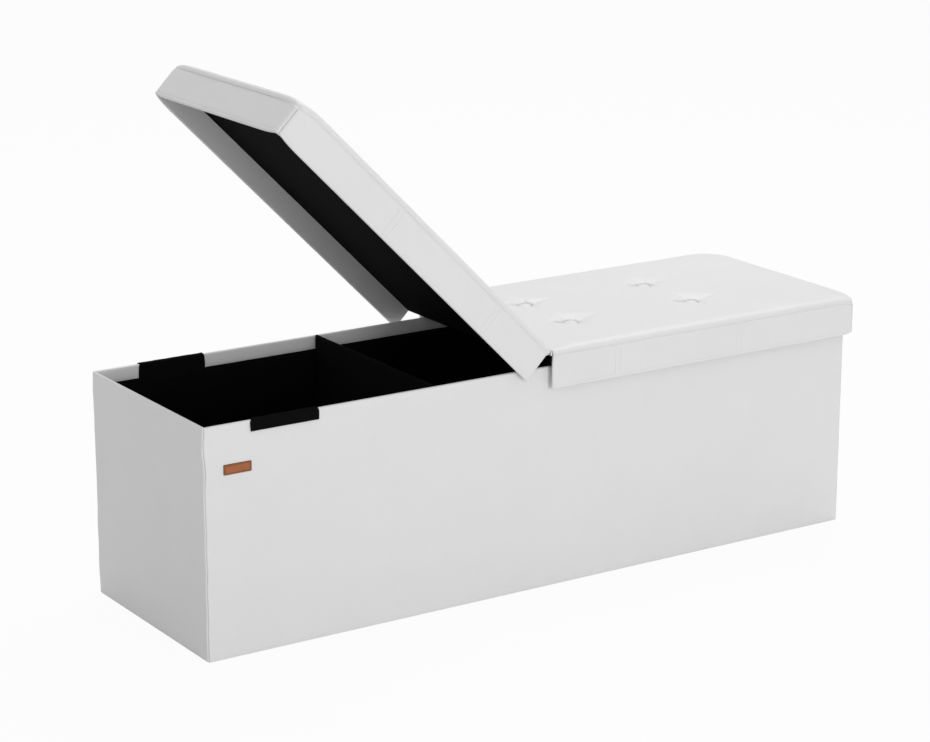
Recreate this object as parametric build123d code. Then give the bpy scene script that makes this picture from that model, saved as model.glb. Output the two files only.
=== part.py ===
"""Storage bench: a lined box with lift-out dividers under a padded lid in two hinged halves.

Millimetres, Z up. The origin is the middle of the underside, X runs along the bench, -Y is the front.
The right half of the lid lies closed and the left half stands open, turned about the sewn hinge.
"""
from build123d import *
import os
from math import asin, cos, radians, sin, sqrt

# Overall sizes
LID_LENGTH = 1200.0
LID_DEPTH = 380.0
LID_OVERHANG = 13.0       # the lid stands out past the box by this much on every side
WALL_HEIGHT = 352.0       # the box without its lid

# Walls of the box, from the outside in
SKIN = 0.8                # coated cloth on the walls and the skirts
WALL_BOARD = 4.0
LINING = 0.8
WALL_CORNER = 4.0         # outer radius of the upright corners
TURN_IN = 21.0            # coated cloth turned in over the top edge, down the inside

# Floor of the box and its dividers
BASE_CLOTH = 1.2
FLOOR_BOARD = 5.0
FLOOR_GAP = 1.0           # round the loose floor board
DIVIDER_X = 200.0         # middle of each divider from the middle of the bench
DIVIDER_BOARD = 4.0
DIVIDER_CLOTH = 1.0
DIVIDER_GAP = 0.5         # at each end of a divider

# Cloth tabs folded over the front and back walls
TAB_FROM_END = 132.0      # end of the box to the middle of a tab
TAB_LENGTH = 112.0
TAB_CLOTH = 1.4
TAB_DROP_OUT = 16.5
TAB_DROP_IN = 31.0

# Sewn-on label
LABEL_FROM_END = 54.0     # left end of the box to the middle of the label
LABEL_FROM_TOP = 67.0     # top of the wall to the middle of the label
LABEL_LENGTH = 45.0
LABEL_HEIGHT = 15.5
LABEL_LEATHER = 1.5
LABEL_CORNER = 1.5

# Lid: padded panel and the skirt that hangs round it
REST_GAP = 0.3            # lid over the tabs and dividers it rests on
LID_PANEL = 26.0          # underside of the panel to the edge of its top
LID_CLOTH = 0.8           # black cloth under the panel
LID_BOARD = 6.0
LID_SKIN = 1.0            # coated cloth over the padding
SKIRT_HEIGHT = 55.0       # lower edge of the skirt to its seam with the top
SKIRT_BOARD = 4.0
SEAM_DROP = 6.0           # edge of the top down to that seam
LID_CORNER = 14.0         # radius of the upright outer corners
EDGE_ROUND = 5.0          # radius of the padded edge
LEAST_ROUND = 0.5         # inner corners are never sharper than this

# Quilting
SEAM_FIRST = 124.0        # first cross seam from the hinge
SEAM_PITCH = 236.0
SEAM_ROW = 63.3           # long seams either side of the middle
SEAM_RISE = 0.8           # seams above the edge of the top
PILLOW_RISE = 3.0         # crown of each pillow above its seams, along the bench
ROW_RISE = 4.2            # the same across the bench
DIMPLE_DEPTH = 3.5
DIMPLE_RADIUS = 70.0
BUTTON_RADIUS = 11.0
BUTTON_FOOT = 8.0         # radius of the flat underside
BUTTON_RIM = 2.0          # underside up to the widest place
BUTTON_HEIGHT = 5.0
BUTTON_GAP = 0.05
TWINE_RADIUS = 1.0
TWINE_GAP = 0.2           # twine in its holes, washer in its recess
WASHER_RADIUS = 6.0
WASHER_THICKNESS = 1.2

# Hinge between the halves
WELT_RADIUS = 2.0
WELT_GAP = 0.3
HINGE_FLAP = 1.0          # thickness of the seam allowance that hangs from the welt
HINGE_FLAP_DROP = 18.0
LID_OPEN = 45.0           # degrees that the left half stands open

# Worked out from the sizes above
BOX_LENGTH = LID_LENGTH - 2 * LID_OVERHANG
BOX_DEPTH = LID_DEPTH - 2 * LID_OVERHANG
WALL = SKIN + WALL_BOARD + LINING
SKIRT = SKIN + SKIRT_BOARD + SKIN
REST_Z = WALL_HEIGHT + TAB_CLOTH
LID_LOW = REST_Z + REST_GAP
LID_BOARD_LOW = LID_LOW + LID_CLOTH
LID_BOARD_TOP = LID_BOARD_LOW + LID_BOARD
HINGE_Z = LID_LOW + LID_PANEL
SEAM_Z = HINGE_Z - SEAM_DROP
TOP_Z = HINGE_Z + SEAM_RISE + PILLOW_RISE + ROW_RISE    # clear above every crown
SKIRT_LOW = SEAM_Z - SKIRT_HEIGHT
HINGE_END = WELT_RADIUS + WELT_GAP
QUILT_SEAMS = (SEAM_FIRST, SEAM_FIRST + SEAM_PITCH)
QUILT_ROWS = (-SEAM_ROW, SEAM_ROW)
BUTTON_PLACES = [(x, y) for x in QUILT_SEAMS for y in QUILT_ROWS]
TALL = WALL_HEIGHT + LID_PANEL + LID_DEPTH

parts = {}


def wedges(length, depth):
    """Four upright wedges that part a rectangular rim along the diagonals of its corners."""
    half_x = length
    half_y = half_x - (length - depth) / 2
    ridge = (length - depth) / 2
    front = make_face(Polyline((-half_x, -half_y), (half_x, -half_y), (ridge, 0), (-ridge, 0), close=True))
    right = make_face(Polyline((half_x, -half_y), (half_x, half_y), (ridge, 0), close=True))
    blocks = {"front": extrude(front, TALL), "right": extrude(right, TALL)}
    blocks["back"] = mirror(blocks["front"], about=Plane.XZ)
    blocks["left"] = mirror(blocks["right"], about=Plane.YZ)
    return blocks


def box_block(inset, low, high):
    """Upright block with the plan of the box, drawn in from its outside."""
    plan = RectangleRounded(BOX_LENGTH - 2 * inset, BOX_DEPTH - 2 * inset, max(WALL_CORNER - inset, LEAST_ROUND))
    return Pos(0, 0, low) * extrude(plan, high - low)


def lid_block(inset, low, high, hinge_inset=0.0):
    """Upright block with the plan of the right half of the lid, drawn in from its sides and its hinge end."""
    start = HINGE_END + hinge_inset
    end = LID_LENGTH / 2 - inset
    plan = Pos((start + end) / 2, 0) * Rectangle(end - start, LID_DEPTH - 2 * inset)
    plan = fillet(plan.vertices().group_by(Axis.X)[-1], max(LID_CORNER - inset, LEAST_ROUND))
    return Pos(0, 0, low) * extrude(plan, high - low)


def pillow_face(stations, rise, inset, start_round, end_round):
    """Face under a row of shallow arcs that meet at the seams, with rounded or square ends."""
    edge = HINGE_Z - inset
    first, last = stations[0], stations[-1]
    tops = [(first + start_round, edge)]
    tops += [(place, edge + SEAM_RISE) for place in stations[1:-1]]
    tops += [(last - end_round, edge)]
    lean = 1 - sin(radians(45))
    rim = [Line((first, SEAM_Z), (first, edge - start_round))]
    if start_round:
        turn = (first + start_round * lean, edge - start_round * lean)
        rim.append(ThreePointArc((first, edge - start_round), turn, tops[0]))
    for near, far in zip(tops, tops[1:]):
        crown = ((near[0] + far[0]) / 2, (near[1] + far[1]) / 2 + rise)
        rim.append(ThreePointArc(near, crown, far))
    turn = (last - end_round * lean, edge - end_round * lean)
    rim.append(ThreePointArc(tops[-1], turn, (last, edge - end_round)))
    rim.append(Line((last, edge - end_round), (last, SEAM_Z)))
    rim.append(Line((last, SEAM_Z), (first, SEAM_Z)))
    return Face(Wire(rim))


def quilted_pad(inset):
    """Pillowed top of the right half above its seam, drawn in by the inset, with a dimple at each tuft."""
    end = LID_LENGTH / 2 - inset
    side = LID_DEPTH / 2 - inset
    roundness = max(EDGE_ROUND - inset, LEAST_ROUND)
    along = pillow_face((HINGE_END + inset, *QUILT_SEAMS, end), PILLOW_RISE, inset, 0, roundness)
    across = pillow_face((-side, *QUILT_ROWS, side), ROW_RISE, inset, roundness, roundness)
    pad = lid_block(inset, SEAM_Z, TOP_Z + inset, inset)
    pad = pad & extrude(Plane.XZ * along, LID_DEPTH, both=True)
    pad = pad & extrude(Plane.YZ * across, LID_LENGTH, both=True)
    centre = HINGE_Z + SEAM_RISE - DIMPLE_DEPTH + DIMPLE_RADIUS
    for x, y in BUTTON_PLACES:
        pad -= Pos(x, y, centre) * Sphere(DIMPLE_RADIUS + inset)
    return pad


def bored(solid, radius, low, high):
    """Solid with an upright hole at each tuft."""
    for x, y in BUTTON_PLACES:
        solid -= Pos(x, y, low) * extrude(Circle(radius), high - low)
    return solid


def at_tufts(shape):
    """Copies of a shape at the four tufts of the right half."""
    return Compound(children=[Pos(x, y, 0) * shape for x, y in BUTTON_PLACES])


def box_walls():
    """Four board walls, each with its outer skin, turned in at the top, and its black lining."""
    lining_top = WALL_HEIGHT - TURN_IN
    board = box_block(SKIN, SKIN, WALL_HEIGHT - SKIN) - box_block(WALL - LINING, SKIN, WALL_HEIGHT - SKIN)
    lining = box_block(WALL - LINING, SKIN, lining_top) - box_block(WALL, SKIN, lining_top)
    cover = box_block(0, 0, WALL_HEIGHT) - box_block(WALL, 0, WALL_HEIGHT) - board - lining
    for side, wedge in wedges(BOX_LENGTH, BOX_DEPTH).items():
        name = side if side in ("front", "back") else side + "_end"
        parts[name + "_wall_board"] = board & wedge
        parts[name + "_wall_cover"] = cover & wedge
        parts[name + "_wall_lining"] = lining & wedge


def box_inside():
    """Cloth base, loose floor board, and two cloth-covered dividers that stand on it."""
    floor_top = BASE_CLOTH + FLOOR_BOARD
    parts["base_cloth"] = box_block(WALL, 0, BASE_CLOTH)
    parts["floor_board"] = box_block(WALL + FLOOR_GAP, BASE_CLOTH, floor_top)
    span = BOX_DEPTH - 2 * (WALL + DIVIDER_GAP)
    height = REST_Z - floor_top
    stand = Align.CENTER, Align.CENTER, Align.MIN
    thickness = DIVIDER_BOARD + 2 * DIVIDER_CLOTH
    outside = Box(thickness, span, height, align=stand)
    inside = Box(DIVIDER_BOARD, span - 2 * DIVIDER_CLOTH, height - 2 * DIVIDER_CLOTH, align=stand)
    inside = Pos(0, 0, DIVIDER_CLOTH) * inside
    for side, x in (("left", -DIVIDER_X), ("right", DIVIDER_X)):
        parts[side + "_divider_board"] = Pos(x, 0, floor_top) * inside
        parts[side + "_divider_cover"] = Pos(x, 0, floor_top) * (outside - inside)


def wall_tabs():
    """Cloth tabs folded over the wall tops, one over each long wall near each end."""
    outer = -BOX_DEPTH / 2
    inner = outer + WALL
    section = Polyline(
        (outer - TAB_CLOTH, WALL_HEIGHT - TAB_DROP_OUT),
        (outer, WALL_HEIGHT - TAB_DROP_OUT),
        (outer, WALL_HEIGHT),
        (inner, WALL_HEIGHT),
        (inner, WALL_HEIGHT - TAB_DROP_IN),
        (inner + TAB_CLOTH, WALL_HEIGHT - TAB_DROP_IN),
        (inner + TAB_CLOTH, REST_Z),
        (outer - TAB_CLOTH, REST_Z),
        close=True,
    )
    tab = extrude(Plane.YZ * make_face(section), TAB_LENGTH / 2, both=True)
    middle = BOX_LENGTH / 2 - TAB_FROM_END
    for side, x in (("left", -middle), ("right", middle)):
        parts[side + "_front_tab"] = Pos(x, 0, 0) * tab
        parts[side + "_back_tab"] = Pos(x, 0, 0) * mirror(tab, about=Plane.XZ)


def leather_label():
    """Small blank leather label sewn to the front near the left end."""
    plate = RectangleRounded(LABEL_LENGTH, LABEL_HEIGHT, LABEL_CORNER)
    place = Pos(LABEL_FROM_END - BOX_LENGTH / 2, WALL_HEIGHT - LABEL_FROM_TOP)
    face = Plane.XZ.offset(BOX_DEPTH / 2) * place * plate
    parts["label"] = extrude(face, LABEL_LEATHER)


def lid_half():
    """Pieces of the right half of the lid, closed, by name."""
    half = {}
    hole = TWINE_RADIUS + TWINE_GAP
    cover = quilted_pad(0) - quilted_pad(LID_SKIN)
    half["top_cover"] = bored(cover, hole, SEAM_Z, TOP_Z)
    foam = lid_block(SKIRT, LID_BOARD_TOP, SEAM_Z, LID_CLOTH) + quilted_pad(LID_SKIN)
    half["foam"] = bored(foam, hole, LID_BOARD_TOP, TOP_Z)

    recess_top = LID_BOARD_LOW + WASHER_THICKNESS + TWINE_GAP
    board = lid_block(SKIRT, LID_BOARD_LOW, LID_BOARD_TOP, LID_CLOTH)
    board = bored(board, WASHER_RADIUS + TWINE_GAP, LID_BOARD_LOW, recess_top)
    half["panel_board"] = bored(board, hole, LID_BOARD_LOW, LID_BOARD_TOP)
    cloth = lid_block(SKIRT, LID_LOW, SEAM_Z) - lid_block(SKIRT, LID_BOARD_LOW, SEAM_Z, LID_CLOTH)
    half["under_cloth"] = cloth

    board = lid_block(SKIN, SKIRT_LOW + SKIN, SEAM_Z, SKIN) - lid_block(SKIRT - SKIN, SKIRT_LOW, SEAM_Z)
    cover = lid_block(0, SKIRT_LOW, SEAM_Z) - lid_block(SKIRT, SKIRT_LOW, SEAM_Z) - board
    sides = wedges(LID_LENGTH, LID_DEPTH)
    for side, name in (("front", "front"), ("back", "back"), ("right", "end")):
        half[name + "_skirt_board"] = board & sides[side]
        half[name + "_skirt_cover"] = cover & sides[side]

    dimple_low = HINGE_Z + SEAM_RISE - DIMPLE_DEPTH
    foot_z = dimple_low + DIMPLE_RADIUS - sqrt(DIMPLE_RADIUS**2 - BUTTON_FOOT**2) + BUTTON_GAP
    rim_z = foot_z + BUTTON_RIM
    crown_z = foot_z + BUTTON_HEIGHT
    dome = crown_z - rim_z
    dome_radius = (BUTTON_RADIUS**2 + dome**2) / (2 * dome)
    half_turn = asin(BUTTON_RADIUS / dome_radius) / 2
    shoulder = (dome_radius * sin(half_turn), crown_z - dome_radius * (1 - cos(half_turn)))
    outline = [
        Line((0, foot_z), (BUTTON_FOOT, foot_z)),
        Line((BUTTON_FOOT, foot_z), (BUTTON_RADIUS, rim_z)),
        ThreePointArc((BUTTON_RADIUS, rim_z), shoulder, (0, crown_z)),
        Line((0, crown_z), (0, foot_z)),
    ]
    button = revolve(Plane.XZ * Face(Wire(outline)), Axis.Z)
    half["buttons"] = at_tufts(button)
    half["button_twines"] = at_tufts(Pos(0, 0, recess_top) * extrude(Circle(TWINE_RADIUS), foot_z - recess_top))
    washer = extrude(Circle(WASHER_RADIUS), WASHER_THICKNESS)
    half["button_washers"] = at_tufts(Pos(0, 0, recess_top - WASHER_THICKNESS) * washer)
    return half


def lid():
    """Right half closed, left half its mirror image turned up about the hinge, and the welt between them."""
    swing = Pos(0, 0, HINGE_Z) * Rot(0, LID_OPEN, 0) * Pos(0, 0, -HINGE_Z)
    for name, piece in lid_half().items():
        parts["right_" + name] = piece
        parts["left_" + name] = swing * mirror(piece, about=Plane.YZ)
    welt = Plane.XZ * Pos(0, HINGE_Z) * Circle(WELT_RADIUS)
    flap = Plane.XZ * Pos(0, HINGE_Z - HINGE_FLAP_DROP / 2) * Rectangle(HINGE_FLAP, HINGE_FLAP_DROP)
    parts["hinge_welt"] = extrude(welt, LID_DEPTH / 2, both=True) + extrude(flap, LID_DEPTH / 2, both=True)


box_walls()
box_inside()
wall_tabs()
leather_label()
lid()

os.makedirs("parts", exist_ok=True)
for name, piece in parts.items():
    export_step(piece, os.path.join("parts", name + ".step"))
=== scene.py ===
"""Storage bench in white coated cloth: a lined box under a tufted lid in two hinged halves.

Sizes are in millimetres until a mesh is made. X runs along the bench, -Y is its front, Z is up.
"""
import math

import bmesh
import bpy
import numpy as np
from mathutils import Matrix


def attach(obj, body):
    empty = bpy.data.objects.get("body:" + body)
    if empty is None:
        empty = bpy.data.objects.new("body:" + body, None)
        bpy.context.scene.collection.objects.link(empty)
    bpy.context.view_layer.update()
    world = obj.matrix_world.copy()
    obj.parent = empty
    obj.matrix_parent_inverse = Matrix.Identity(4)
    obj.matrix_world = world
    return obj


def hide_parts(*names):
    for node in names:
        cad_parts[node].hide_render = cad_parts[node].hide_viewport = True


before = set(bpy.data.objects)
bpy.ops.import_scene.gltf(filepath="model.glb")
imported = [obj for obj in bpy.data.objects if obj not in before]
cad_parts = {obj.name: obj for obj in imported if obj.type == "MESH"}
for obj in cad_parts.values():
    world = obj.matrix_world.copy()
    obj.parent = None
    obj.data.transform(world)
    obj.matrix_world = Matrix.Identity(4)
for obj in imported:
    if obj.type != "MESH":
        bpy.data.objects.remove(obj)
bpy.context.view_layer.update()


# Wall boards and lid boards. Sheets of hard fibreboard, sawn square and glued between the cover and
# the lining of each side, and under the padding of the lid. They keep the bench flat and hardly show.


class Socket:
    """An output socket of one material: operators add Math nodes, and node() adds any other node."""

    def __init__(self, tree, output):
        self.tree = tree
        self.output = output

    def node(self, kind, settings=None, sockets=None, output=0):
        made = self.tree.nodes.new(kind)
        for name, value in (settings or {}).items():
            setattr(made, name, value)
        for name, value in (sockets or {}).items():
            if isinstance(value, Socket):
                self.tree.links.new(value.output, made.inputs[name])
            else:
                made.inputs[name].default_value = value
        return Socket(self.tree, made.outputs[output])

    def maths(self, operation, first, second):
        return self.node("ShaderNodeMath", {"operation": operation}, {0: first, 1: second})

    def __add__(self, other):
        return self.maths("ADD", self, other)

    def __sub__(self, other):
        return self.maths("SUBTRACT", self, other)

    def __rsub__(self, other):
        return self.maths("SUBTRACT", other, self)

    def __mul__(self, other):
        return self.maths("MULTIPLY", self, other)

    def __pow__(self, other):
        return self.maths("POWER", self, other)

    __radd__ = __add__
    __rmul__ = __mul__

    def within(self, low, high):
        """The value taken from the range low to high onto 0 to 1, and held there."""
        return self.node("ShaderNodeMapRange", {"clamp": True}, {0: self, 1: low, 2: high, 3: 0.0, 4: 1.0})

    def between(self, dark, light):
        """Colour that goes from dark to light as the value goes from 0 to 1."""
        return self.node("ShaderNodeMix", {"data_type": "RGBA"}, {0: self, 6: dark, 7: light}, 2)

    def noise(self, scale, detail=2.0):
        """Soft noise over these coordinates, 0 to 1, with features one over scale metres wide."""
        return self.node("ShaderNodeTexNoise", {}, {"Vector": self, "Scale": scale, "Detail": detail})

    def cells(self, scale, feature):
        """Voronoi cells over these coordinates, one over scale metres wide."""
        return self.node("ShaderNodeTexVoronoi", {"feature": feature}, {"Vector": self, "Scale": scale})

    def stretched(self, x, y, z):
        """The coordinates multiplied along each axis."""
        return self.node("ShaderNodeMapping", {}, {"Vector": self, "Scale": (x, y, z)})


def new_material(name, roughness, specular=0.5, **constants):
    """Material with one Principled shader, and the Object coordinates that its patterns start from."""
    material = bpy.data.materials.new(name)
    material.use_nodes = True
    shader = material.node_tree.nodes["Principled BSDF"]
    shader.inputs["Roughness"].default_value = roughness
    shader.inputs["Specular IOR Level"].default_value = specular
    for socket, value in constants.items():
        shader.inputs[socket.replace("_", " ")].default_value = value
    start = Socket(material.node_tree, None)
    return material, start.node("ShaderNodeTexCoord", output="Object")


def feed(material, colour, relief, depth, roughness=None):
    """Gives the shader its colour, its roughness, and a relief of that depth in metres."""
    tree = material.node_tree
    shader = tree.nodes["Principled BSDF"]
    raised = relief.node("ShaderNodeBump", {}, {"Strength": 1.0, "Distance": depth, "Height": relief})
    tree.links.new(colour.output, shader.inputs["Base Color"])
    tree.links.new(raised.output, shader.inputs["Normal"])
    if roughness is not None:
        tree.links.new(roughness.output, shader.inputs["Roughness"])


def dress(node, material):
    """Puts a material on a CAD node that stays as it is."""
    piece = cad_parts[node]
    if not piece.material_slots:
        piece.data.materials.append(material)
    for held in piece.material_slots:
        held.material = material


fibreboard, place = new_material("fibreboard", 0.75, 0.3)
fibres = place.noise(900.0, 5.0)
feed(fibreboard, fibres.between((0.10, 0.052, 0.025, 1), (0.22, 0.125, 0.065, 1)), fibres, 0.0003)
HALVES = ("right", "left")
for half in HALVES:
    dress(half + "_divider_board", fibreboard)
    dress(half + "_panel_board", fibreboard)


# Wall covers. One panel of white coated cloth to each wall, drawn over the board, turned in over the top
# edge and down the inside, and under at the bottom. Neighbours are sewn together down each corner.
BOX_LENGTH, BOX_DEPTH, WALL_HEIGHT = 1174.0, 354.0, 352.0
BOX_PLAN = BOX_LENGTH, BOX_DEPTH
SIDES = {"front": BOX_LENGTH, "right_end": BOX_DEPTH, "back": BOX_LENGTH, "left_end": BOX_DEPTH}
WALL = 5.6
TURN_IN = 21.0
LINING_DEPTH = 0.7      # the cover lies this much deeper behind the lining
LINING_LEDGE = 1.0      # and steps back to there over this height
FOOT_ROUND = 1.6
RIM_ROUND = 2.6
WALL_CORNER = 4.5
SEAM_ROLL = 1.5         # radius of the cloth where it rolls in to a corner seam
ROLL_SHARE = 0.35       # but never more than this share of the corner's bend
LEAST_CORNER = 0.4
TURN_CLEAR = 0.5        # the first station after a turned end lies at least this far from it
SKIN = 0.9              # coated cloth over the boards
BOARD_SHORT = 9.0       # the boards stop short of the corner seams
PANEL_STEP = 9.0
ON_FACE = 0.01          # a point this near a face lies on it
WAVE_SPREAD = (0.7, 1.6)    # ripples differ in length by factors from this range
WANDER = 0.22, 210.0    # unevenness is given as the height of its waves and their length
WANDER_RIM = 30.0       # it dies away within this of the rim and the foot
PUCKER = 0.2, 17.0
PUCKER_STRETCH, PUCKER_REACH, PUCKER_CLEAR = 0.2, 9.0, 3.0
SWAY = 0.6, 62.0
SWAY_REACH = 7.0
SWAY_APART = 40.0       # between the corners in the ripples, so that each seam wanders its own way
MM = 0.001
WELD = 0.001 * MM


def stacked(*parts):
    """Points from their coordinates, each spread over the whole grid."""
    return np.stack(np.broadcast_arrays(*parts), axis=-1)


def coordinates(grid):
    """The coordinates of points, each as a grid of its own."""
    return np.moveaxis(grid, -1, 0)


def ramp(away, reach):
    """0 where away is 0 or less, rising evenly to 1 at reach."""
    return np.clip(away / reach, 0, 1)


def hill(away, width):
    """1 where away is 0, dying away on both sides over about width."""
    return np.exp(-(away / width) ** 2)


def arc(centre, radius, start, stop, count=6):
    """Points on a circle about centre, from one angle in degrees to another."""
    turn = np.radians(np.linspace(start, stop, count))
    return stacked(centre[0] + radius * np.cos(turn), centre[1] + radius * np.sin(turn))


def traced(points, step):
    """The outline through points, with more points set evenly along any stretch longer than step."""
    points = np.asarray(points, float)
    gaps = np.linalg.norm(np.diff(points, axis=0), axis=1)
    shares = [np.linspace(0, 1, max(1, math.ceil(gap / step)), endpoint=False)[:, None] for gap in gaps]
    runs = [near + share * (far - near) for near, far, share in zip(points, points[1:], shares)]
    return np.vstack(runs + [points[-1:]])


def ripples(a, b, waves, seed, count=14):
    """Soft unevenness: plane waves of about that height and length, in random directions and phases."""
    height, length = waves
    draw = np.random.default_rng(seed)
    heading = draw.uniform(0, 2 * np.pi, count)
    pace = 2 * np.pi / (length * draw.uniform(*WAVE_SPREAD, count))
    phase = draw.uniform(0, 2 * np.pi, count)
    along = a[..., None] * np.cos(heading) + b[..., None] * np.sin(heading)
    return height * (np.sin(along * pace + phase).sum(axis=-1) / math.sqrt(count))


def bulges(a, b, waves, seed):
    """Ripples to one side only, from 0 to twice their height."""
    return np.clip(waves[0] + ripples(a, b, waves, seed), 0, 2 * waves[0])


def corner_turn(depth, corner, roll, bend_count=5, roll_count=7):
    """Distance from the end plane and depth from the face, as a panel turns a sewn corner.

    Each depth follows its own arc about the corner's centre, then a small roll of the cloth that ends
    pointing inwards on the corner's diagonal, where the next panel's roll meets it.
    """
    depth = depth[:, None]
    bend = np.maximum(corner - depth, LEAST_CORNER)
    middle = np.maximum(corner, depth + LEAST_CORNER)
    small = np.minimum(roll, ROLL_SHARE * bend)
    leave = np.arccos(small / (bend - small)) - np.pi / 4
    turn = leave * np.linspace(0, 1, bend_count)
    curl = leave + (0.75 * np.pi - leave) * np.linspace(0, 1, roll_count + 1)[1:]
    pivot = middle - (bend - small) * np.sin(leave)
    inner = middle - (bend - small) * np.cos(leave)
    away = np.hstack([middle - bend * np.sin(turn), pivot - small * np.sin(curl)])
    deep = np.hstack([middle - bend * np.cos(turn), inner - small * np.cos(curl)])
    return away, deep


def hinge_turn(depth, count=6):
    """Distance and depth as a panel closes to a folded end: its faces draw in to the middle on an arc."""
    middle = (depth.max() + depth.min()) / 2
    turn = np.linspace(0, np.pi / 2, count)
    away = np.repeat((middle * (1 - np.sin(turn)))[None], len(depth), axis=0)
    return away, middle + (depth[:, None] - middle) * np.cos(turn)


def stations(start, stop, step, seams=(), reach=0.0, close=1.0):
    """Places from start to stop, step apart, and close together within reach of each seam."""
    places = np.linspace(start, stop, math.ceil((stop - start) / step) + 1)
    for seam in seams:
        fine = np.arange(seam - reach, seam + reach + close / 2, close)
        places = np.concatenate([places[np.abs(places - seam) > reach + close / 2], fine])
    return np.unique(places[(places >= start) & (places <= stop)])


def sewn_panel(section, turns, places):
    """A section of (depth, height) carried along a side through the places, with a turn at each end.

    The result is a grid of (along, depth, height): rows go round the section, columns go along the side.
    """
    depth, height = section[:, 0], section[:, 1]
    start, stop = places[0], places[-1]
    (near_away, near_deep), (far_away, far_deep) = turns[0](depth), turns[1](depth)
    near = start + near_away[:, ::-1]
    far = stop - far_away
    inside = places[(places > near.max() + TURN_CLEAR) & (places < far.min() - TURN_CLEAR)]
    straight, level = np.broadcast_arrays(inside, depth[:, None])
    along = np.hstack([near, straight, far])
    deep = np.hstack([near_deep[:, ::-1], level, far_deep])
    return stacked(along, deep, height[:, None])


def on_side(panel, side, plan):
    """Puts a grid of (along, depth, height) on one side of a rectangle, turned about Z by quarter turns."""
    length, depth = plan
    along, deep, up = coordinates(panel)
    x, y = {
        "front": (along, deep - depth / 2),
        "right_end": (length / 2 - deep, along),
        "back": (-along, depth / 2 - deep),
        "left_end": (deep - length / 2, -along),
    }[side]
    return stacked(x, y, up)


def grid_faces(rows, columns, closed=False):
    """Quads between neighbouring points of a grid, and from the last row to the first if it is closed."""
    index = np.arange(rows * columns).reshape(rows, columns)
    if closed:
        index = np.vstack([index, index[:1]])
    corners = index[:-1, :-1], index[:-1, 1:], index[1:, 1:], index[1:, :-1]
    return np.stack(corners, axis=-1).reshape(-1, 4)


def mesh_piece(name, points, faces, finish, body, node=None, solid=True, smooth=True):
    """Piece from points in millimetres, doubles merged, that rides on a body and stands for a CAD node.

    A finish is a material and a slot name; the slot name is not used. A solid piece has its faces turned
    outwards.
    """
    material, slot = finish
    mesh = bpy.data.meshes.new(name)
    mesh.from_pydata((points.reshape(-1, 3) * MM).tolist(), [], [list(face) for face in faces])
    work = bmesh.new()
    work.from_mesh(mesh)
    bmesh.ops.remove_doubles(work, verts=work.verts, dist=WELD)
    if solid:
        bmesh.ops.recalc_face_normals(work, faces=work.faces)
        if work.calc_volume(signed=True) < 0:
            bmesh.ops.reverse_faces(work, faces=work.faces)
    work.to_mesh(mesh)
    work.free()
    rounded = [smooth and len(face.vertices) <= 4 for face in mesh.polygons]
    mesh.polygons.foreach_set("use_smooth", np.array(rounded))
    mesh.materials.append(material)
    piece = bpy.data.objects.new(name, mesh)
    bpy.context.scene.collection.objects.link(piece)
    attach(piece, body)
    if node:
        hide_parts(node)
    return piece


def panel_piece(name, grid, finish, body, node):
    """Closed piece from a panel whose section is a loop, with both ends capped on the seam's diagonal."""
    rows, columns = grid.shape[:2]
    faces = grid_faces(rows, columns, True).tolist()
    first = np.arange(rows) * columns
    faces += [first.tolist(), (first + columns - 1)[::-1].tolist()]
    return mesh_piece(name, grid, faces, finish, body, node)


def board_corners(span, depths, heights):
    """The eight corners of a sawn board, in (along, depth, height)."""
    return np.array([[(along, deep, up) for deep, up in (
        (depths[0], heights[0]), (depths[1], heights[0]), (depths[1], heights[1]), (depths[0], heights[1]),
    )] for along in span])


def board_piece(name, corners, body, node):
    """Sawn board from its eight corners."""
    faces = ((0, 1, 2, 3), (7, 6, 5, 4), (0, 4, 5, 1), (1, 5, 6, 2), (2, 6, 7, 3), (3, 7, 4, 0))
    mesh_piece(name, corners, faces, (fibreboard, "fibreboard"), body, node, smooth=False)


leatherette, place = new_material("white_leatherette", 0.42, 0.45, Sheen_Weight=0.04)
pebbles = place.cells(1150.0, "DISTANCE_TO_EDGE").within(0.0, 0.26)
fine = place.noise(3600.0, 3.0)
patches = place.noise(14.0, 3.0)
grain = pebbles ** 0.6 * (0.75 + 0.25 * fine)
tone = patches.within(0.3, 0.7) * 0.6 + grain * 0.4
feed(
    leatherette,
    tone.between((0.8, 0.8, 0.8, 1), (0.822, 0.822, 0.822, 1)),
    grain,
    0.00006,
    0.5 - 0.08 * grain - 0.04 * patches,
)
WHITE_CLOTH = leatherette, "white_leatherette"

wall_section = traced(np.vstack([
    [(WALL - LINING_DEPTH, 0.0)],
    arc((FOOT_ROUND, FOOT_ROUND), FOOT_ROUND, 270, 180),
    arc((RIM_ROUND, WALL_HEIGHT - RIM_ROUND), RIM_ROUND, 180, 90),
    arc((WALL - RIM_ROUND, WALL_HEIGHT - RIM_ROUND), RIM_ROUND, 90, 0),
    [(WALL, WALL_HEIGHT - TURN_IN), (WALL - LINING_DEPTH, WALL_HEIGHT - TURN_IN - LINING_LEDGE)],
]), PANEL_STEP)


def wall_turn(depth):
    """The turn of a wall cover at a corner of the box."""
    return corner_turn(depth, WALL_CORNER, SEAM_ROLL)


def cloth_unevenness(panel, length, seed):
    """Millimetres that a cover stands off its face: a slow wander, and puckers beside the corner seams."""
    along, _, up = coordinates(panel)
    loose = ramp(np.minimum(up, WALL_HEIGHT - up), WANDER_RIM)
    from_seam = np.clip(length / 2 - np.abs(along), 0, None)
    fade = np.exp(-from_seam / PUCKER_REACH) * ramp(from_seam, PUCKER_CLEAR)
    wander = loose * ripples(along, up, WANDER, seed)
    return wander + fade * ripples(PUCKER_STRETCH * along, up, PUCKER, seed + 1)


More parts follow.
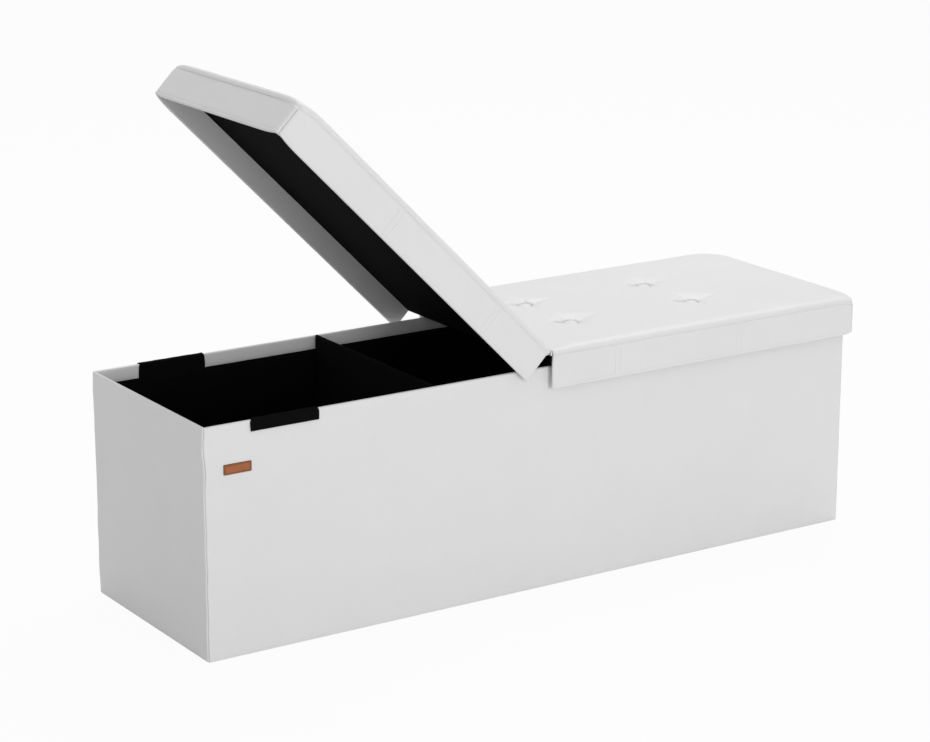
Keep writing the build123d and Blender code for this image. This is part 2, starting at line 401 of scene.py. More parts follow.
def seam_sway(grid, seed):
    """Moves the cloth near each corner seam to and fro across the corner, as the seam wanders up it."""
    x, y, up = coordinates(grid)
    near = np.hypot(BOX_LENGTH / 2 - np.abs(x), BOX_DEPTH / 2 - np.abs(y))
    corner = 2 * np.sign(x) + np.sign(y)
    sway = ripples(up, SWAY_APART * corner, SWAY, seed) * hill(near, SWAY_REACH)
    return stacked(x + sway * np.sign(x), y - sway * np.sign(y), up)


for number, (side, length) in enumerate(SIDES.items()):
    places = stations(-length / 2, length / 2, PANEL_STEP)
    panel = sewn_panel(wall_section, (wall_turn, wall_turn), places)
    outside = wall_section[:, :1] < ON_FACE
    panel[..., 1] -= outside * cloth_unevenness(panel, length, 40 + number)
    grid = seam_sway(on_side(panel, side, BOX_PLAN), 48)
    panel_piece(side + "_cover", grid, WHITE_CLOTH, "box", side + "_wall_cover")
    reach = length / 2 - BOARD_SHORT
    board = board_corners((-reach, reach), (SKIN, WALL - SKIN), (SKIN, WALL_HEIGHT - SKIN))
    board = on_side(board, side, BOX_PLAN)
    board_piece(side + "_sawn_board", board, "box", side + "_wall_board")


# Wall linings. Thin black non-woven cloth on the inside of each wall, glued to the board below the
# turned-in edge of the cover, and butted together in the corners.
LINING = 0.7
LINING_LOW = 1.0
LINING_TOP = WALL_HEIGHT - TURN_IN
LINING_TUCK, LINING_EDGE = 0.3, 0.8     # its top edge is pressed in by so much, over such a height
LINING_STEP = 14.0
LINING_HOLD = 25.0      # glued down flat within this of its edges
LINING_SLACK = 0.35, 90.0

black_cloth, place = new_material("black_nonwoven", 0.95, 0.05)
bonds = place.cells(620.0, "F1").within(0.15, 0.45)
hairs = place.stretched(1.0, 1.0, 0.35).noise(2600.0, 4.0)
worn = place.noise(22.0, 3.0)
fleece = 0.6 * bonds + 0.4 * hairs
feed(
    black_cloth,
    (0.55 * hairs + 0.45 * worn).between((0.0015, 0.0015, 0.0017, 1), (0.0062, 0.0062, 0.0066, 1)),
    fleece,
    0.00012,
    1.0 - 0.12 * bonds,
)
BLACK_CLOTH = black_cloth, "black_cloth"


def sheet_piece(name, grid, thickness, finish, body, node):
    """Open grid given its thickness behind it by Solidify."""
    piece = mesh_piece(name, grid, grid_faces(*grid.shape[:2]), finish, body, node, solid=False)
    wall = piece.modifiers.new("thickness", "SOLIDIFY")
    wall.thickness = thickness * MM
    wall.offset = -1.0
    return piece


lining_section = traced([
    (WALL - LINING_TUCK, LINING_TOP), (WALL, LINING_TOP - LINING_EDGE), (WALL, LINING_LOW),
], LINING_STEP)
for number, (side, length) in enumerate(SIDES.items()):
    share = np.linspace(-1, 1, math.ceil(length / LINING_STEP))
    reach = length / 2 - lining_section[:, :1]
    along, up = reach * share, lining_section[:, 1:]
    loose = ramp(reach - np.abs(along), LINING_HOLD) * ramp(LINING_TOP - up, LINING_HOLD)
    deep = lining_section[:, :1] + loose * bulges(along, up, LINING_SLACK, 60 + number)
    grid = on_side(stacked(along, deep, up), side, BOX_PLAN)
    lining = sheet_piece(side + "_lining", grid, LINING, BLACK_CLOTH, "box", side + "_wall_lining")


# Base and floor. Black cloth closes the underside, sewn to the foot of the walls, and a loose board in
# the same cloth lies on it and stiffens it.
INSIDE_LENGTH, INSIDE_DEPTH = BOX_LENGTH - 2 * WALL, BOX_DEPTH - 2 * WALL
BASE_CLOTH = 1.2
BASE_EDGE, BASE_STEP = 3.0, 24.0
BASE_SAG = 0.3, 130.0
FLOOR_TOP = 6.2
FLOOR_GAP = 1.0
FLOOR_ROUND, FLOOR_STEP = 1.6, 20.0
FLOOR_RUB = 0.12, 80.0


def spaced(half, edge, step, round_count=6):
    """Places from -half to half, step apart, and on a quarter round within edge of the ends."""
    rim = half - edge * (1 - np.cos(np.linspace(0, np.pi / 2, round_count)))[:-1]
    inside = np.linspace(half - edge, 0, max(2, math.ceil(half / step)))
    side = np.concatenate([rim, inside])
    return np.concatenate([-side, side[-2::-1]])


def slab_faces(wide, high, thick, edge, step):
    """Plan of a board in cloth, and how far each face stands out: its rims round off on quarter rounds."""
    a, b = np.meshgrid(spaced(wide / 2, edge, step), spaced(high / 2, edge, step), indexing="ij")
    inset = np.clip(np.minimum(wide / 2 - np.abs(a), high / 2 - np.abs(b)), 0, edge)
    swell = thick / 2 * np.sqrt(np.clip(1 - (1 - inset / edge) ** 2, 0, 1))
    return a, b, swell


def slab_piece(name, front, back, finish, body, node=None):
    """Closed piece from two grids that share their outer rows and columns."""
    faces = grid_faces(*front.shape[:2])
    faces = np.vstack([faces, faces[:, ::-1] + front.shape[0] * front.shape[1]])
    return mesh_piece(name, np.stack([front, back]), faces, finish, body, node)


a, b, swell = slab_faces(INSIDE_LENGTH, INSIDE_DEPTH, BASE_CLOTH, BASE_EDGE, BASE_STEP)
sag = bulges(a, b, BASE_SAG, 71) * swell / swell.max()
upper = stacked(a, b, BASE_CLOTH / 2 + swell)
lower = stacked(a, b, BASE_CLOTH / 2 - swell + sag)
base = slab_piece("base", upper, lower, BLACK_CLOTH, "box", "base_cloth")

floor_thick = FLOOR_TOP - BASE_CLOTH
a, b, swell = slab_faces(
    INSIDE_LENGTH - 2 * FLOOR_GAP, INSIDE_DEPTH - 2 * FLOOR_GAP, floor_thick, FLOOR_ROUND, FLOOR_STEP)
middle = (FLOOR_TOP + BASE_CLOTH) / 2
rub = ripples(a, b, FLOOR_RUB, 72) * swell / swell.max()
upper = stacked(a, b, middle + swell + np.minimum(rub, 0))
lower = stacked(a, b, middle - swell)
slab_piece("covered_floor_board", upper, lower, BLACK_CLOTH, "box", "floor_board")


# Dividers. A thin board in a sewn sleeve of the same black cloth, standing across the box on the floor
# board and reaching up to the lid, so that each half of the lid rests on one.
DIVIDER_X = 200.0
DIVIDER_THICK = 6.0
DIVIDER_GAP = 0.5
DIVIDER_SPAN = INSIDE_DEPTH - 2 * DIVIDER_GAP
DIVIDER_TOP = 353.4
DIVIDER_HEIGHT = DIVIDER_TOP - FLOOR_TOP
DIVIDER_ROUND, DIVIDER_STEP = 2.4, 9.0
SLEEVE_SLACK = 0.3, 75.0
SLEEVE_SEAM = 7.0       # the sleeve is sewn this far in from its rim, and drawn in there
SLEEVE_DRAW, SLEEVE_SEAM_WIDTH = 0.45, 1.3

for number, half in enumerate(HALVES):
    middle = DIVIDER_X if half == "right" else -DIVIDER_X
    a, b, swell = slab_faces(DIVIDER_SPAN, DIVIDER_HEIGHT, DIVIDER_THICK, DIVIDER_ROUND, DIVIDER_STEP)
    up = b + FLOOR_TOP + DIVIDER_HEIGHT / 2
    full = swell / swell.max()
    rim = np.minimum(DIVIDER_SPAN / 2 - np.abs(a), DIVIDER_HEIGHT / 2 - np.abs(b))
    sewn = SLEEVE_DRAW * hill(rim - SLEEVE_SEAM, SLEEVE_SEAM_WIDTH)
    slack, back_slack = [ripples(a, b, SLEEVE_SLACK, 80 + 2 * number + face) - sewn for face in (0, 1)]
    front = stacked(middle + swell + full * slack, a, up)
    back = stacked(middle - swell - full * back_slack, a, up)
    slab_piece(half + "_divider", front, back, BLACK_CLOTH, "box", half + "_divider_cover")


# Wall tabs. Straps of heavier black cloth folded over the long walls near both ends and sewn through,
# so that the lid rests on them and the walls can be pulled up straight.
TAB_FROM_MIDDLE = 455.0
TAB_LENGTH = 112.0
TAB_CLOTH = 1.4         # from the wall to the outside of the strap
TAB_SHEET = 1.12        # the cloth itself
TAB_DROP_OUT = 16.5
TAB_DROP_IN = 31.0
TAB_ROUND = 2.8
TAB_FLARE = 0.5
TAB_STEP, TAB_COLUMNS = 1.5, 75
TAB_PINCH = 1.8         # the strap draws in by this much at each end where it folds over the wall
TAB_PINCH_REACH = 3.0
TAB_HEM, TAB_HEM_LIFT = 5.0, 0.25
TAB_SEAM, TAB_SEAM_WIDTH, TAB_SEAM_DRAW = 4.0, 0.7, 0.5
TAB_WAVER = 0.3, 30.0   # of the cut ends
TAB_SLACK = 0.15, 28.0

outer, inner, top = -TAB_CLOTH, WALL + TAB_CLOTH, WALL_HEIGHT + TAB_CLOTH
tab_path = traced(np.vstack([
    [(outer - TAB_FLARE, WALL_HEIGHT - TAB_DROP_OUT)],
    arc((outer + TAB_ROUND, top - TAB_ROUND), TAB_ROUND, 180, 90),
    arc((inner - TAB_ROUND, top - TAB_ROUND), TAB_ROUND, 90, 0),
    [(inner, WALL_HEIGHT - TAB_DROP_IN)],
]), TAB_STEP)
gaps = np.linalg.norm(np.diff(tab_path, axis=0), axis=1)
run = np.concatenate([[0], np.cumsum(gaps)])
share = np.linspace(-1, 1, TAB_COLUMNS)
from_edge = TAB_LENGTH / 2 * (1 - np.abs(share))
from_end = np.minimum(run, run[-1] - run)
rim = np.minimum(from_edge[None], from_end[:, None])
lift = TAB_HEM_LIFT * (rim < TAB_HEM) - TAB_SEAM_DRAW * hill(rim - TAB_SEAM, TAB_SEAM_WIDTH)
pinch = TAB_PINCH * hill(tab_path[:, 1:] - top, TAB_PINCH_REACH)
down = run[:, None]
way = np.gradient(tab_path, axis=0)
way /= np.linalg.norm(way, axis=1)[:, None]
for half in HALVES:
    for side in ("front", "back"):
        x = TAB_FROM_MIDDLE if half == "right" else -TAB_FROM_MIDDLE
        middle = x if side == "front" else -x
        seed = 90 + HALVES.index(half) * 2 + (side == "back")
        along = middle + share * (TAB_LENGTH / 2 - pinch * share ** 6)
        along += ripples(down, 0 * down, TAB_WAVER, seed) * share ** 7
        slack = lift + ripples(along, down, TAB_SLACK, seed + 10)
        deep = tab_path[:, :1] - way[:, 1:] * slack
        up = np.minimum(tab_path[:, 1:] + way[:, :1] * slack, top)
        grid = on_side(stacked(along, deep, up), side, BOX_PLAN)
        name = half + "_" + side
        tab = sheet_piece(name + "_strap", grid, TAB_SHEET, BLACK_CLOTH, "box", name + "_tab")


# Label. A small blank tag of brown leather with dark cut edges and a pressed line round it, sewn flat to
# the front wall near the left end.
LABEL_X, LABEL_Z = -533.0, 285.0
LABEL_LENGTH, LABEL_HEIGHT, LABEL_LEATHER = 45.0, 15.5, 1.5
LABEL_CORNER = 1.5
LABEL_EDGE = 0.6
LABEL_SLACK = 0.06, 12.0
LABEL_HOLD = 2.0        # it lies flat at the rim, and loosens over this much
PRESSED_LINE = 2.2      # in from the rim
PRESSED_DEPTH, PRESSED_WIDTH = 0.35, 0.3
EDGE_WEAR = 0.9         # the dark of the cut edge dies away over this much
LINE_WEAR, LINE_WEAR_WIDTH = 0.55, 0.35
LINE_RINGS = np.array([-0.8, -0.45, -0.2, 0.0, 0.2, 0.45, 0.8, 1.4])
EDGE_POINTS, INNER_POINTS = 5, 6

label_leather, place = new_material("label_leather", 0.5, 0.4)
pores = place.cells(1500.0, "DISTANCE_TO_EDGE").within(0.0, 0.3)
mottle = place.noise(160.0, 4.0)
edge_wear = place.node("ShaderNodeAttribute", {"attribute_name": "cut_edge"}, output="Fac")
tan = (0.7 * mottle + 0.3 * pores).between((0.31, 0.092, 0.03, 1), (0.48, 0.16, 0.058, 1))
burnt = edge_wear.node(
    "ShaderNodeMix", {"data_type": "RGBA"}, {0: edge_wear, 6: tan, 7: (0.075, 0.026, 0.012, 1)}, 2)
feed(label_leather, burnt, pores * 0.6 + mottle * 0.4, 0.00008, 0.62 - 0.12 * pores)


def rounded_rings(length, height, corner, insets, side_count=20, corner_count=6):
    """Rounded rectangles drawn in by each inset, one row of points each, all with as many points."""
    bend = np.maximum(corner - insets, 0.0)[:, None]
    wide, high = [(size / 2 - np.maximum(corner, insets))[:, None] for size in (length, height)]
    turn = np.radians(np.linspace(0, 90, corner_count))
    corners = []
    for number, (sign_x, sign_y) in enumerate(((1, 1), (-1, 1), (-1, -1), (1, -1))):
        angle = turn + number * np.pi / 2
        x, y = sign_x * wide + bend * np.cos(angle), sign_y * high + bend * np.sin(angle)
        corners.append(stacked(x, y))
    part = (np.arange(1, side_count) / side_count)[:, None]
    ring = []
    for here, following in zip(corners, corners[1:] + corners[:1]):
        ring += [here, here[:, -1:] * (1 - part) + following[:, :1] * part]
    return np.concatenate(ring, axis=1)


insets = np.concatenate([
    LABEL_EDGE * (1 - np.cos(np.linspace(0, np.pi / 2, EDGE_POINTS))),
    PRESSED_LINE + LINE_RINGS,
    np.linspace(PRESSED_LINE + LINE_RINGS[-1], LABEL_HEIGHT / 2, INNER_POINTS)[1:],
])
x, y = coordinates(rounded_rings(LABEL_LENGTH, LABEL_HEIGHT, LABEL_CORNER, insets))
rise = LABEL_LEATHER - LABEL_EDGE + LABEL_EDGE * np.sqrt(1 - (1 - ramp(insets, LABEL_EDGE)) ** 2)
rise -= PRESSED_DEPTH * hill(insets - PRESSED_LINE, PRESSED_WIDTH)
slack = ripples(x, y, LABEL_SLACK, 101) * ramp(insets, LABEL_HOLD)[:, None]
tag = stacked(LABEL_X + x, -BOX_DEPTH / 2 - (rise[:, None] + slack), LABEL_Z + y)
back = stacked(tag[:1, :, 0], -BOX_DEPTH / 2, tag[:1, :, 2])
tag = np.vstack([back, tag])
tag = np.hstack([tag, tag[:, :1]])
faces = grid_faces(*tag.shape[:2]).tolist() + [list(range(tag.shape[1] - 1))]
label = mesh_piece("label_tag", tag, faces, (label_leather, "label_leather"), "box", "label")
points = np.zeros(len(label.data.vertices) * 3, np.float32)
label.data.vertices.foreach_get("co", points)
points = points.reshape(-1, 3) / MM
near_rim = np.minimum(
    LABEL_LENGTH / 2 - np.abs(points[:, 0] - LABEL_X), LABEL_HEIGHT / 2 - np.abs(points[:, 2] - LABEL_Z))
wear = np.exp(-np.clip(near_rim, 0, None) / EDGE_WEAR)
wear += LINE_WEAR * hill(near_rim - PRESSED_LINE, LINE_WEAR_WIDTH)
wear = np.clip(wear, 0, 1)
label.data.attributes.new("cut_edge", "FLOAT", "POINT").data.foreach_set("value", wear.astype(np.float32))


# Lid tops. White coated cloth over foam on a board, in one piece to each half, with four covered buttons
# pulled down into it. The edge rolls over to its seam with the skirt.
LID_END, LID_SIDE = 600.0, 190.0
LID_PLAN = 2 * LID_END, 2 * LID_SIDE
HINGE_END = 2.3
HINGE_Z = 379.7
SEAM_Z = 373.7
LID_SWING = math.radians(45.0)
LID_CORNER = 14.0
EDGE_ROUND = 4.2
EDGE_BULGE = 1.3        # the padded roll stands this far out over the skirt
EDGE_TUCK = ((0.15, 0.9), (0.45, 1.2), (0.8, 1.4), (0.9, 1.2), (1.7, 0.1))    # steps in and down to the seam
CORNER_EASE = 0.75      # the steps in are smaller by this share at the outer corners
END_TUCK = 0.3          # and only this share of them is taken along the end
TOP_END, TOP_SIDE, TOP_CORNER = LID_END + EDGE_BULGE, LID_SIDE + EDGE_BULGE, LID_CORNER + EDGE_BULGE
HINGE_ROUND = 2.2
TOP_SKIN = 1.0
BUTTON_COLUMNS = np.array([124.0, 360.0])
BUTTON_ROWS = np.array([-63.3, 63.3])
BUTTON_PLACES = [(s, y) for s in BUTTON_COLUMNS for y in BUTTON_ROWS]
PAD_RISE, PAD_REACH = 1.4, 9.0          # the padding rises from its edge by so much, within such a reach,
CROWN_RISE, CROWN_REACH = 3.0, 11.0     # and on into a crown
HINGE_REACH = 40.0      # it thins out over this much towards the hinge
CORNER_DROOP = 6.0      # and towards the lid's outer corners, where the seam drops
SEAM_DROOP = 5.0
CORNER_REACH = 17.0
CORNER_DRAW = 2.2 * EDGE_BULGE
TOP_SLACK, TOP_FINE, EDGE_PUCKER = (0.3, 95.0), (0.1, 30.0), (0.22, 17.0)
EDGE_PUCKER_REACH = 9.0
TUFT_DEPTH, TUFT_CURVE = 8.5, 1.3
# Angle in degrees and reach of each tip of a tuft. Each is drawn a little off, by degrees and by a share.
TUFT_TIPS = ((0, 54), (48, 34), (90, 50), (140, 30), (180, 42), (225, 25), (270, 42), (318, 29))
TIP_SWING, TIP_SHARE = (-9, 9), (0.85, 1.2)
BUTTON_PULL, PULL_REACH, PULL_STEEPNESS = 7.0, 13.5, 10
PLEAT_HEADING = math.radians(163.0)     # one deep pleat runs out from each button this way
PLEAT_MIDDLE, PLEAT_REACH, PLEAT_WIDTH, PLEAT_DEPTH = 18.0, 11.0, 4.4, 7.0
# Fine creases round each button: ranges that their count, swing, reach and depth are drawn from.
CREASE_COUNT, CREASE_SWING, CREASE_REACH, CREASE_DEPTH = (7, 10), (-0.3, 0.3), (6, 16), (0.7, 2.0)
CREASE_START, CREASE_WIDTH, CREASE_FLARE, CREASE_FADE = 12.0, 1.1, 0.06, 4.0
TOP_STEP = 6.0
TUFT_SPANS, TUFT_STEP = (51.0, 48.0), 1.5
ROLL_POINTS, CORNER_POINTS = 8, 6


def swung(points, half):
    """A piece of the right half, closed, as it is, or turned round and swung open to be the left half's."""
    if half == "right":
        return points
    x, y, up = coordinates(points)
    x, up = -x, up - HINGE_Z
    turn = math.cos(LID_SWING), math.sin(LID_SWING)
    return stacked(x * turn[0] + up * turn[1], -y, HINGE_Z - x * turn[1] + up * turn[0])


def rounded_plan(s, y):
    """Plan of the lid from a rectangular grid, its two outer corners rounded, and the distance from its rim.

    Within each corner's square the grid is squeezed onto the quarter disc that fits it.
    """
    u = np.clip(s - (TOP_END - TOP_CORNER), 0, None)
    v = np.clip(np.abs(y) - (TOP_SIDE - TOP_CORNER), 0, None)
    round_u = u * np.sqrt(1 - v ** 2 / (2 * TOP_CORNER ** 2))
    round_v = v * np.sqrt(1 - u ** 2 / (2 * TOP_CORNER ** 2))
    in_corner = TOP_CORNER - np.hypot(round_u, round_v)
    rim = np.where((u > 0) & (v > 0), in_corner, np.minimum(TOP_END - s, TOP_SIDE - np.abs(y)))
    return s - u + round_u, y - np.sign(y) * (v - round_v), rim


def corner_share(s, y):
    """1 at the outer corners of the lid, dying away smoothly with the distance from them."""
    point = (1 - math.sqrt(0.5)) * LID_CORNER
    far = np.hypot(LID_END - point - s, LID_SIDE - point - np.abs(y))
    return np.exp(-(far / CORNER_REACH) ** 1.5)


def tuft_pull(s, y, seed):
    """Millimetres that the cloth is drawn down round the four buttons.

    Each tuft is a star-shaped hollow. Its outline is a polygon with long tips towards the neighbouring
    buttons, and the depth falls off with the share of the way out to it, so that flat folds meet in
    creases. A steep ring is drawn in under the button's rim, and one deep pleat and fine creases run out.
    """
    draw = np.random.default_rng(seed)
    pull = np.zeros_like(s)
    for middle_s, middle_y in BUTTON_PLACES:
        far = np.hypot(s - middle_s, y - middle_y)
        turn = np.arctan2(y - middle_y, s - middle_s)
        angles = np.radians([angle + draw.uniform(*TIP_SWING) for angle, _ in TUFT_TIPS])
        reaches = np.array([reach * draw.uniform(*TIP_SHARE) for _, reach in TUFT_TIPS])
        share = np.full_like(far, np.inf)
        for number in range(len(TUFT_TIPS)):
            following = (number + 1) % len(TUFT_TIPS)
            span = (angles[following] - angles[number]) % (2 * np.pi)
            into = (turn - angles[number]) % (2 * np.pi)
            before = np.sin(span - into) / (reaches[number] * np.sin(span))
            after = np.sin(into) / (reaches[following] * np.sin(span))
            share = np.where(into <= span, far * (before + after), share)
        pull += TUFT_DEPTH * np.clip(1 - share, 0, 1) ** TUFT_CURVE
        pull += BUTTON_PULL * np.exp(-(far / PULL_REACH) ** PULL_STEEPNESS)
        ahead = far * np.cos(turn - PLEAT_HEADING)
        across = far * np.sin(turn - PLEAT_HEADING)
        pull += PLEAT_DEPTH * hill(ahead - PLEAT_MIDDLE, PLEAT_REACH) * hill(across, PLEAT_WIDTH)
        count = draw.integers(*CREASE_COUNT)
        for heading in 2 * np.pi * (np.arange(count) + draw.uniform(*CREASE_SWING, count)) / count:
            across = far * np.sin(turn - heading)
            ahead = np.clip(np.cos(turn - heading) * CREASE_FADE, 0, 1)
            reach = draw.uniform(*CREASE_REACH)
            deep = draw.uniform(*CREASE_DEPTH)
            fold = hill(across, CREASE_WIDTH + CREASE_FLARE * far)
            pull += ahead * deep * fold * np.exp(-np.clip(far - CREASE_START, 0, None) / reach)
    return pull


def top_grid(seed):
    """Padded top of the closed right half, with its edge rolled down and tucked in above the skirt.

    The rise is a broad crown that is steep at the edges, with a slow unevenness, less the tufts, the
    puckers along the edge and the droop at the corners.
    """
    roll = np.linspace(0, np.pi / 2, ROLL_POINTS)
    corner = np.linspace(TOP_CORNER, EDGE_ROUND, CORNER_POINTS)[1:-1]
    outer = np.concatenate([corner, EDGE_ROUND * (1 - np.sin(roll))])
    hinge_side = HINGE_END + HINGE_ROUND * (1 - np.cos(roll[:-1]))
    s_near, s_far, y_far = HINGE_END + HINGE_ROUND, TOP_END - TOP_CORNER, TOP_SIDE - TOP_CORNER
    s_inside = stations(s_near, s_far, TOP_STEP, BUTTON_COLUMNS, TUFT_SPANS[0], TUFT_STEP)
    y_inside = stations(-y_far, y_far, TOP_STEP, BUTTON_ROWS, TUFT_SPANS[1], TUFT_STEP)
    s_line = np.concatenate([hinge_side, s_inside, TOP_END - outer])
    y_line = np.concatenate([(outer - TOP_SIDE)[::-1], y_inside, TOP_SIDE - outer])
    s, y, rim = rounded_plan(*np.meshgrid(s_line, y_line, indexing="ij"))
    hinge_rim = s - HINGE_END
    crown = (1 - np.exp(-rim / CROWN_REACH)) * (1 - np.exp(-hinge_rim / HINGE_REACH))
    from_hinge = ramp(hinge_rim, HINGE_REACH)
    rise = CROWN_RISE * crown + PAD_RISE * ramp(rim, PAD_REACH) * from_hinge
    rise += crown * (ripples(s, y, TOP_SLACK, seed) + ripples(s, y, TOP_FINE, seed + 1))
    rise -= tuft_pull(s, y, seed + 2)
    rise -= ripples(s, y, EDGE_PUCKER, seed + 3) * np.exp(-rim / EDGE_PUCKER_REACH) * from_hinge
    near, near_hinge = 1 - ramp(rim, EDGE_ROUND), 1 - ramp(hinge_rim, HINGE_ROUND)
    drop = EDGE_ROUND * (1 - np.sqrt(1 - near ** 2)) + HINGE_ROUND * (1 - np.sqrt(1 - near_hinge ** 2))
    droop = CORNER_DROOP + (SEAM_DROOP - CORNER_DROOP) * near ** 2
    up = HINGE_Z + rise * (1 - near ** 4) - drop - droop * corner_share(s, y)
    grid = drawn_in(stacked(s, y, up), CORNER_DRAW * near * corner_share(s, y))
    for inset, below in EDGE_TUCK:
        grid = tucked(grid, inset, below)
    return grid


def drawn_in(grid, inset, end_share=1.0):
    """Points near the rim moved in from the lid's sides and corners by inset, and from its end by a share."""
    s, y, up = coordinates(grid)
    toward_s = np.clip(s - (TOP_END - TOP_CORNER), 0, None)
    toward_y = np.sign(y) * np.clip(np.abs(y) - (TOP_SIDE - TOP_CORNER), 0, None)
    share = inset / TOP_CORNER
    return stacked(s - end_share * share * toward_s, y - share * toward_y, up)


def widened(grid):
    """The grid with its outermost points doubled in one more ring, and a mask of that ring."""
    ring = np.pad(grid, ((1, 1), (1, 1), (0, 0)), mode="edge")
    added = np.ones(ring.shape[:2], bool)
    added[1:-1, 1:-1] = False
    return ring, added


def tucked(grid, inset, below):
    """The grid with one more ring of points, set lower, and drawn in by inset except along the hinge."""
    ring, added = widened(grid)
    s, y, _ = coordinates(ring)
    ease = 1 - CORNER_EASE * corner_share(s, y)
    ring = drawn_in(ring, inset * added * ease, END_TUCK)
    ring[added, 2] -= below
    return ring


tops = {}
for number, half in enumerate(HALVES):
    tops[half] = top_grid(120 + 20 * number)
    grid = swung(tops[half], half)[::-1]
    top = sheet_piece(half + "_padded_top", grid, TOP_SKIN, WHITE_CLOTH, half + "_lid", half + "_top_cover")


# Lid foam. A block of pale upholstery foam between the panel board and the top cover, cut to the plan of
# the lid. It fills the top cover from below and is closed in by the skirts.
SKIRT = 5.6
LID_BOARD_TOP = 360.5
FOAM_UNDER = 1.4
FOAM_INSET, FOAM_HINGE = 12.0, 3.0
FOAM_EVERY = 3          # takes every third point of the top

foam, place = new_material("pale_foam", 0.9, 0.2)
bubbles = place.cells(900.0, "F1").within(0.1, 0.6)
feed(foam, bubbles.between((0.52, 0.45, 0.27, 1), (0.78, 0.71, 0.5, 1)), bubbles, 0.0004)
for half in HALVES:
    top = tops[half]
    along, across = top[:, top.shape[1] // 2, 0], top[top.shape[0] // 2, :, 1]
    held_s = np.flatnonzero((along > HINGE_END + FOAM_HINGE) & (along < LID_END - FOAM_INSET))
    held_y = np.flatnonzero(np.abs(across) < LID_SIDE - FOAM_INSET)
    upper = top[np.ix_(held_s[::FOAM_EVERY], held_y[::FOAM_EVERY])]
    upper[..., 2] -= FOAM_UNDER
    block, added = widened(upper)
    block[added, 2] = LID_BOARD_TOP
    rows, columns = block.shape[:2]
    index = np.arange(rows * columns).reshape(rows, columns)
    around = np.concatenate([index[0], index[1:, -1], index[-1, -2::-1], index[-2:0:-1, 0]])
    faces = grid_faces(rows, columns).tolist() + [around[::-1].tolist()]
    block = swung(block, half)
    pad = mesh_piece(half + "_foam_block", block, faces, (foam, "foam"), half + "_lid", half + "_foam")


# Lid skirts. Board strips wrapped in white coated cloth, hung round three sides of each half and sewn to
# the top all along. Two cross seams run down each long one, and the lower edge is hemmed over the board.
SKIRT_LOW = 318.7
SKIRT_ROUND = 2.5
SKIRT_TOP = 371.5       # where the skirt turns in under the roll of the top
SKIRT_TOP_ROUND = 1.2
CROSS_SEAMS = BUTTON_COLUMNS
STITCH_OFF = 4.8        # from the middle of a cross seam to each of its two rows of stitches
STITCH_DRAW, STITCH_WIDTH = 0.5, 0.9    # the groove under a row of stitches
SEAM_DRAW, SEAM_WIDTH = 0.15, 3.0       # and the one between the two rows
SEAM_SWELL, SWELL_OFF, SWELL_WIDTH = 0.25, 12.0, 7.0
LID_ROLL = 2.4
SKIRT_STEP, SKIRT_UP_STEP = 6.0, 1.4
SEAM_REACH, SEAM_STEP = 8.0, 0.5
SKIRT_HOLD = 4.0        # the cloth lies flat at its two edges, and loosens over this height
SKIRT_SLACK, SKIRT_FINE = (0.22, 75.0), (0.08, 22.0)
SKIRT_STRETCH = 0.5     # its slow waves are longer up and down, by one over this
HEM_RISE = 5.5
HEM_DRAW, HEM_WIDTH = 0.4, 0.9
HEM_LIFT = 3.0          # the hem rises by this much at the corners
INNER_SHARE = 0.7       # the relief of the inner face, as a share of the outer's
SEED_APART = 40         # between the seeds of the two halves

skirt_section = traced(np.vstack([
    [(SKIRT_TOP_ROUND, SEAM_Z), (SKIRT, SEAM_Z)],
    arc((SKIRT - SKIRT_ROUND, SKIRT_LOW + SKIRT_ROUND), SKIRT_ROUND, 360, 270),
    arc((SKIRT_ROUND, SKIRT_LOW + SKIRT_ROUND), SKIRT_ROUND, 270, 180),
    arc((SKIRT_TOP_ROUND, SKIRT_TOP - SKIRT_TOP_ROUND), SKIRT_TOP_ROUND, 180, 100),
]), SKIRT_UP_STEP)


def seam_dip(away):
    """Millimetres that a double seam draws the cloth in: a groove under each row, a shallow one between."""
    return STITCH_DRAW * hill(np.abs(away) - STITCH_OFF, STITCH_WIDTH) + SEAM_DRAW * hill(away, SEAM_WIDTH)


def skirt_corner(depth):
    """The turn of a skirt at an outer corner of the lid."""
    return corner_turn(depth, LID_CORNER, LID_ROLL)


def skirt_relief(panel, seams, seed):
    """Millimetres that a skirt's cloth stands off its face: slack, less the seams down it and a hem."""
    along, _, up = coordinates(panel)
    loose = ramp(up - SKIRT_LOW, SKIRT_HOLD) * ramp(SKIRT_TOP - up, SKIRT_HOLD)
    stand = ripples(along, SKIRT_STRETCH * up, SKIRT_SLACK, seed) + ripples(along, up, SKIRT_FINE, seed + 1)
    stand -= HEM_DRAW * hill(up - SKIRT_LOW - HEM_RISE, HEM_WIDTH)
    for seam in seams:
        stand -= seam_dip(along - seam)
        stand += SEAM_SWELL * hill(np.abs(along - seam) - SWELL_OFF, SWELL_WIDTH)
    return loose * stand


def hung(grid):
    """Points of a skirt, with the hem lifted and the seam lowered towards the outer corners of the lid."""
    s, y, up = coordinates(grid)
    share = (up - SKIRT_LOW) / (SEAM_Z - SKIRT_LOW)
    return stacked(s, y, up + corner_share(s, y) * (HEM_LIFT * (1 - share) - SEAM_DROOP * share))


